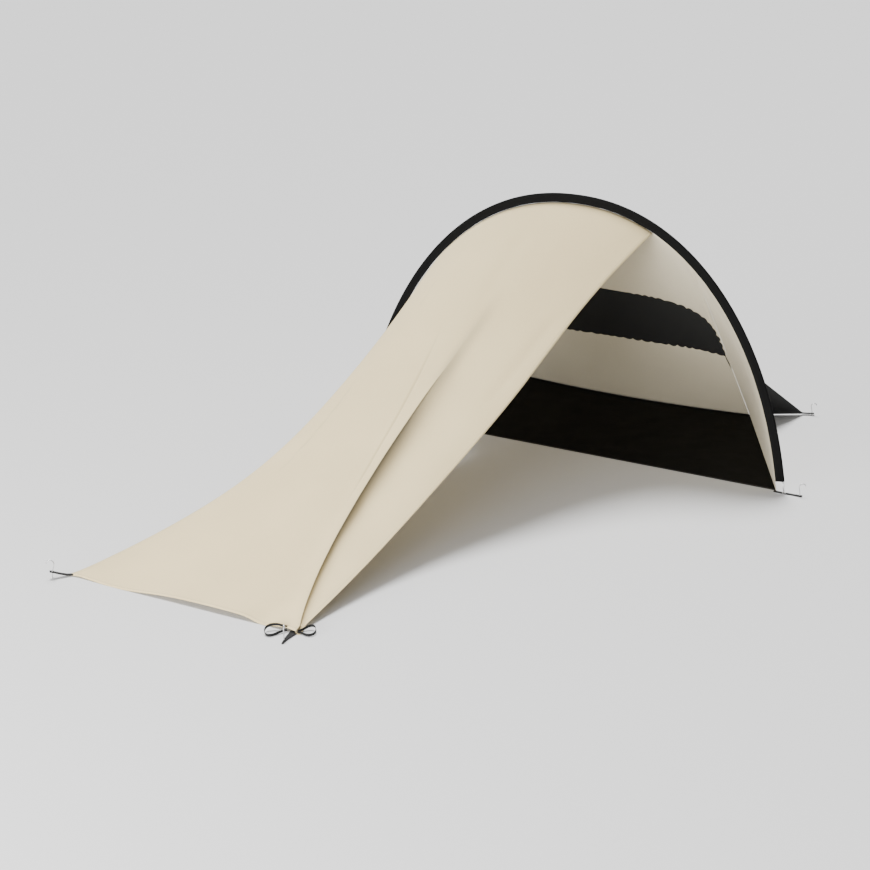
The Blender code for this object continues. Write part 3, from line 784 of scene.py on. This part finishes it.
def creaseDepth(u, v, widest=1.0):
    depth = 0.0
    for line in fineCreases:
        (u0, v0), (u1, v1) = line["from"], line["to"]
        t = (v - v0) / (v1 - v0)
        if -0.2 < t < 1.2 and line["width"] < widest + 0.002:
            ends = easeIn(t, -0.1, 0.25) * (1 - easeIn(t, 0.75, 1.1))
            depth += line["depth"] * ends * bell((u - lerp(u0, u1, t)) * shade["width"], line["width"])
    return depth


def shadeAt(u, v):
    point = shadeBase(u, v)
    line = foldLine(v)
    height, shift = foldShape((u - line) * shade["width"], v, (1 - line) * shade["width"])
    inside = easeIn(min(u, 1 - u), 0.0, 0.06) * easeIn(min(v, 1 - v), 0.0, 0.05)
    swell = ripple(point.x * 1.7, point.y * 1.7, 2.0) + 0.35 * ripple(point.x * 6.0, point.y * 6.0, 9.0)
    height += inside * shade["swell"] * swell - creaseDepth(u, v)
    normal = normalOf(shadeBase, u, v)
    if normal.z < 0:
        normal.negate()
    sideways = (shadeBase(min(u + 0.01, 1.0), v) - shadeBase(max(u - 0.01, 0.0), v)).normalized()
    point = point + normal * height + sideways * shift
    point.z = max(0.0012, point.z)
    return point


def columnShare(s, v):
    # columns crowd towards the fold
    line, split = foldLine(v), fold["split"]
    if s < split:
        return line * (1 - (1 - s / split) ** fold["leftCrowd"])
    return line + (1 - line) * ((s - split) / (1 - split)) ** fold["rightCrowd"]


def shadeWidth(v):
    return (shadeBase(1.0, v) - shadeBase(0.0, v)).length


def makeShade():
    length = shade["length"]

    def hem(s, v):
        u = columnShare(s, v)
        sideGap, frontGap = min(u, 1 - u) * shadeWidth(v), (1 - v) * length
        if frontGap < sideGap:
            return frontGap, u * shade["width"], paintedShadeAt(u, v)
        return sideGap, v * length, paintedShadeAt(u, v)

    piece = clothGrid(
        "shadeSheet", shade["columns"], shade["rows"], lambda s, v: shadeAt(columnShare(s, v), v),
        lambda s, v: ((columnShare(s, v) - 0.5) * shadeWidth(v) + 0.6, v * length), hem,
    )
    dress(piece, canvas, ["awning"])
    strips = [makeHem("Left", 0.0), makeHem("Right", 1.0), makeHem("Front", None)]
    declareSheet(piece, shade)


def makeHem(side, edge):
    # the turned-under layer along an edge
    length, wide = shade["length"], shade["hem"]

    def surface(a, b):
        if edge is None:
            u, v = lerp(0.004, 0.975, a), 1 - lerp(0.0004, wide, b) / length
        else:
            v = lerp(0.002, 0.997, a)
            u = abs(edge - lerp(0.0004, wide, b) / shadeWidth(v))
        normal = normalOf(shadeBase, u, v)
        if normal.z > 0:
            normal.negate()
        point = shadeAt(u, v) + normal * lerp(0.0008, 0.0011, b)
        point.z = max(0.0006, point.z)
        return point

    run = shade["width"] if edge is None else length
    piece = clothGrid("shadeHem" + side, 220, 4, surface, lambda a, b: (a * run, b * wide), thickness=0.0006)
    return dress(piece, canvas)


makeShade()
print("shade sheet done")


# wire pegs

wire = {"radius": 0.0021, "height": 0.062, "hook": 0.014, "lean": 0.006, "tipAngle": -32}
pegSpots = [
    {"name": "sidePegRight", "node": "side_peg_right", "spot": (1.172, -0.45), "heading": 35, "hook": 0.015, "lean": 0.0054, "tipAngle": 12},
    {"name": "sidePegLeft", "node": "side_peg_left", "spot": (-1.172, -0.45), "heading": 145, "hook": 0.015, "lean": 0.0054, "tipAngle": 12},
    {"name": "rearPegRight", "node": "rear_peg_right", "spot": (0.904, 0.626), "heading": 29, "height": 0.065, "lean": 0.0067, "tipAngle": 12},
    {"name": "rearPegLeft", "node": "rear_peg_left", "spot": (-0.904, 0.626), "heading": 151, "height": 0.065, "lean": 0.0067, "tipAngle": 12},
    {"name": "frontPegLeft", "node": "front_peg_left", "spot": (-1.172, -2.718), "heading": 209,
     "height": 0.080, "hook": 0.0155, "lean": 0.0093, "tipAngle": 8},
    {"name": "frontPegRight", "node": "front_peg_right", "spot": (-0.071, -2.706), "heading": 119},
]


def smoothLine(points, steps):
    # a curve through all the points
    line = []
    for i in range(len(points) - 1):
        before, after = points[max(i - 1, 0)], points[min(i + 2, len(points) - 1)]
        a, b = points[i], points[i + 1]
        for k in range(steps):
            t = k / steps
            pull = (b - before) * 0.5 * (t ** 3 - 2 * t ** 2 + t) + (after - a) * 0.5 * (t ** 3 - t ** 2)
            line.append(a * (2 * t ** 3 - 3 * t ** 2 + 1) + b * (3 * t ** 2 - 2 * t ** 3) + pull)
    return line + [points[-1]]


def tubeAlong(name, points, radius, resolution=4):
    curve = bpy.data.curves.new(name, "CURVE")
    curve.dimensions = "3D"
    curve.bevel_depth = radius
    curve.bevel_resolution = resolution
    curve.use_fill_caps = True
    spline = curve.splines.new("POLY")
    spline.points.add(len(points) - 1)
    for spot, point in zip(spline.points, points):
        spot.co = (*point, 1.0)
    rod = bpy.data.objects.new(name, curve)
    bpy.context.scene.collection.objects.link(rod)
    bpy.context.view_layer.update()
    mesh = bpy.data.meshes.new_from_object(rod.evaluated_get(bpy.context.evaluated_depsgraph_get()))
    bpy.data.objects.remove(rod)
    bm = bmesh.new()
    bm.from_mesh(mesh)
    bmesh.ops.remove_doubles(bm, verts=bm.verts, dist=1e-6)
    bmesh.ops.recalc_face_normals(bm, faces=bm.faces)
    return addObject(bm, name)


def makePeg(peg):
    peg = {**wire, **peg}
    heading = math.radians(peg["heading"])
    out = Vector((math.cos(heading), math.sin(heading), 0.0))
    spot = Vector((*peg["spot"], 0.0))
    shoulder = peg["height"] - peg["hook"] - peg["radius"]
    centre = spot + out * (peg["hook"] - peg["lean"]) + upward * shoulder
    points = [spot, spot + upward * shoulder * 0.35, spot + upward * shoulder * 0.62 - out * peg["lean"] * 0.45]
    for i in range(9):
        turn = math.radians(lerp(180, peg["tipAngle"], i / 8))
        points.append(centre + (out * math.cos(turn) + upward * math.sin(turn)) * peg["hook"])
    piece = tubeAlong(peg["name"], smoothLine(points, 5), peg["radius"])
    dress(piece, pegMetal, [peg["node"]])


for peg in pegSpots:
    makePeg(peg)
print("pegs done")


# turned ends of the pole and the eyelets that they stand in

tipShape = [
    (0.0, 1.0), (0.0034, 1.0), (0.0040, 0.985), (0.0040, 0.30), (0.0038, 0.285),
    (0.0026, 0.235), (0.0025, 0.045), (0.0020, 0.018), (0.0, 0.010),
]
eyelet = {"inner": 0.0045, "outer": 0.0085, "rise": 0.0018, "height": 0.0024}


def turned(profile, steps=32):
    bm = bmesh.new()
    verts = [bm.verts.new((x, 0.0, z)) for x, z in profile]
    edges = [bm.edges.new(pair) for pair in zip(verts, verts[1:])]
    bmesh.ops.spin(
        bm, geom=verts + edges, cent=(0, 0, 0), axis=(0, 0, 1), dvec=(0, 0, 0),
        angle=2 * math.pi, steps=steps, use_merge=True,
    )
    bmesh.ops.remove_doubles(bm, verts=bm.verts, dist=1e-6)
    bmesh.ops.recalc_face_normals(bm, faces=bm.faces)
    return bm


def makeTips():
    foot = archAt(archFoot())
    top = archAt(archAngleAt(sleeve["endHeight"] - 0.006))
    length = (top - foot).length
    middle = (eyelet["inner"] + eyelet["outer"]) / 2
    ringTurns = [math.radians(180 * i / 8) for i in range(9)]
    half = (eyelet["outer"] - eyelet["inner"]) / 2
    ring = [(middle + half * math.cos(t), eyelet["rise"] * math.sin(t)) for t in ringTurns]
    for side, sign in (("Right", 1.0), ("Left", -1.0)):
        direction = (top - foot).normalized()
        direction.x *= sign
        bm = turned([(x, share * length) for x, share in tipShape])
        stood = Matrix.Translation((foot.x * sign, foot.y, foot.z)) @ direction.to_track_quat("Z", "Y").to_matrix().to_4x4()
        bmesh.ops.transform(bm, matrix=stood, verts=bm.verts)
        tip = addObject(bm, "poleTip" + side)
        tip.data.set_sharp_from_angle(angle=math.radians(40))
        dress(tip, poleMetal, ["pole_tip_" + side.lower()])
        bm = turned(ring + ring[:1])
        bmesh.ops.translate(bm, verts=bm.verts, vec=(sign * arch["halfWidth"], arch["y"], eyelet["height"]))
        dress(addObject(bm, "eyelet" + side), poleMetal, ["foot_eyelet_" + side.lower()])


makeTips()
print("pole ends done")


# webbing straps and the tape tied at the right-hand corner

strapCloth = {"width": 0.020, "thickness": 0.0015, "hole": 0.0034, "crown": 0.0004}


def band(name, line, widths, side, thickness, closed=False):
    # a flat band along a line; side(i) is the direction of its width
    count = len(line) - 1
    distance = [0.0]
    for a, b in zip(line, line[1:]):
        distance.append(distance[-1] + (b - a).length)

    def surface(u, v):
        i = round(v * count)
        across = side(i).normalized()
        along = (line[min(i + 1, count)] - line[max(i - 1, 0)]).normalized()
        crown = along.cross(across).normalized() * (strapCloth["crown"] * (1 - (2 * u - 1) ** 2))
        return line[i] + across * ((u - 0.5) * widths(i / count)) + crown

    return clothGrid(
        name, 8, count, surface,
        lambda u, v: (u * 0.02, distance[round(v * count)]), thickness=thickness, closed=False,
    )


def roundBlock(spot, radius):
    bm = bmesh.new()
    bmesh.ops.create_cone(bm, segments=24, radius1=radius, radius2=radius, depth=0.2, cap_ends=True)
    bmesh.ops.translate(bm, verts=bm.verts, vec=(spot[0], spot[1], 0.05))
    return addObject(bm, "strapHole")


def makeStrap(name, node, points, holes, widths=None):
    width = strapCloth["width"]

    def tapered(t):
        tip = easeIn(t, 1.0, 0.90) if t > 0.90 else 1.0
        return width * (0.55 + 0.45 * math.sqrt(tip))

    line = smoothLine([Vector(p) for p in points], 12)
    end = line[-1] - line[0]
    flatSide = Vector((-end.y, end.x, 0.0))
    piece = band(name, line, widths or tapered, lambda i: flatSide, strapCloth["thickness"])
    for spot in holes:
        cutOut(applied(piece), roundBlock(spot, strapCloth["hole"]))
    dress(piece, webbing, [node])


def makeStraps():
    for side, sign in (("Right", 1.0), ("Left", -1.0)):
        end = side.lower()
        foot = [(1.052, -0.446, 0.0026), (1.066, -0.449, 0.0013), (1.10, -0.45, 0.0012), (1.14, -0.45, 0.0012),
                (1.165, -0.45, 0.0022), (1.183, -0.45, 0.0034)]
        foot = [(x * sign, y, z) for x, y, z in foot]
        makeStrap("footStrap" + side, "foot_strap_" + end, foot, [(1.10 * sign, -0.45), (1.172 * sign, -0.45)])
        rear = [(0.858, 0.6056, 0.0100), (0.8805, 0.6156, 0.0086), (0.904, 0.626, 0.0090), (0.914, 0.6305, 0.0084)]
        rear = [(x * sign, y, z) for x, y, z in rear]
        makeStrap("rearStrap" + side, "rear_strap_" + end, rear, [(0.904 * sign, 0.626)])
    left = [(-1.116, -2.659, 0.0055), (-1.132, -2.676, 0.0070), (-1.152, -2.697, 0.0160), (-1.172, -2.718, 0.0275),
            (-1.179, -2.7255, 0.0300)]
    makeStrap("frontStrapLeft", "front_strap_left", left, [(-1.172, -2.718)])
    right = [(-0.072, -2.632, 0.0045), (-0.071, -2.650, 0.0040), (-0.069, -2.680, 0.0030), (-0.066, -2.706, 0.0022),
             (-0.060, -2.735, 0.0014)]
    makeStrap("frontStrapRight", "front_strap_right", right, [(-0.071, -2.706)], lambda t: lerp(0.038, 0.007, t ** 0.9))


makeStraps()
print("straps done")


tape = {"width": 0.012, "thickness": 0.0011}
leftLoop = [
    (-0.104, -2.634, 0.0150), (-0.116, -2.640, 0.0185), (-0.140, -2.647, 0.0225), (-0.160, -2.660, 0.0215),
    (-0.170, -2.677, 0.0165), (-0.165, -2.696, 0.0100), (-0.149, -2.709, 0.0066), (-0.132, -2.706, 0.0062),
    (-0.121, -2.688, 0.0065), (-0.112, -2.664, 0.0080), (-0.098, -2.645, 0.0095),
]
rightLoop = [
    (-0.060, -2.634, 0.0052), (-0.050, -2.612, 0.0085), (-0.038, -2.592, 0.0150), (-0.021, -2.584, 0.0180),
    (-0.004, -2.594, 0.0150), (0.005, -2.615, 0.0090), (-0.004, -2.634, 0.0066), (-0.024, -2.638, 0.0060),
    (-0.044, -2.634, 0.0056), (-0.056, -2.640, 0.0052),
]


def makeLoop(side, points):
    line = smoothLine([Vector(p) for p in points], 8)

    def upright(i):
        # the band stands on its edge and leans with the loop
        return upward + Vector((0.0, -0.25, 0.0))

    piece = band("tapeLoop" + side, line, lambda t: tape["width"], upright, tape["thickness"])
    dress(piece, webbing, ["tape_loop_" + side.lower()])


makeLoop("Left", leftLoop)
makeLoop("Right", rightLoop)
print("tape done")


# floor, light and camera

lamps = {
    "frontLight": {"place": (-0.6, -8.0, 0.8), "aim": (0.3, 0.0, 0.2), "size": 3.2, "power": 640},
    "leftLight": {"place": (-3.6, -7.4, 1.4), "aim": (0.5, -0.2, 0.4), "size": 2.4, "power": 230},
}
sky = {"place": (-3.0, 1.2, 9.0), "aim": (-0.4, -1.6, 0.0), "spread": math.radians(22), "power": 5.6, "ambient": 0.40}
view = {"place": (2.9653, -7.0078, 2.7744), "heading": 29.17, "down": 20.60, "focalPixels": 1600, "side": 870}


def placeLight(light, settings):
    light.energy = settings["power"]
    lamp = bpy.data.objects.new(light.name, light)
    lamp.location = settings["place"]
    aim = Vector(settings["aim"]) - Vector(settings["place"])
    lamp.rotation_euler = aim.to_track_quat("-Z", "Y").to_euler()
    bpy.context.scene.collection.objects.link(lamp)


def makeStage():
    bm = bmesh.new()
    bmesh.ops.create_grid(bm, x_segments=1, y_segments=1, size=40.0)
    floor = addObject(bm, "studioFloor")
    paper = Finish("studioPaper", {"Base Color": (0.70, 0.70, 0.70, 1.0), "Roughness": 0.9})
    floor.data.materials.append(paper.material)
    world = bpy.data.worlds.new("studio")
    world.use_nodes = True
    background = world.node_tree.nodes["Background"]
    background.inputs["Color"].default_value = (1.0, 1.0, 1.0, 1.0)
    background.inputs["Strength"].default_value = sky["ambient"]
    bpy.context.scene.world = world
    topLight = bpy.data.lights.new("topLight", "SUN")
    topLight.angle = sky["spread"]
    placeLight(topLight, sky)
    for name, lamp in lamps.items():
        softbox = bpy.data.lights.new(name, "AREA")
        softbox.size = lamp["size"]
        placeLight(softbox, lamp)


def makeCamera():
    data = bpy.data.cameras.new("photoView")
    data.sensor_width = 36.0
    data.lens = 36.0 * view["focalPixels"] / view["side"]
    data.clip_start, data.clip_end = 0.1, 200.0
    camera = bpy.data.objects.new("photoView", data)
    camera.location = view["place"]
    camera.rotation_euler = (math.radians(90 - view["down"]), 0.0, math.radians(view["heading"]))
    bpy.context.scene.collection.objects.link(camera)
    bpy.context.scene.camera = camera


makeStage()
makeCamera()
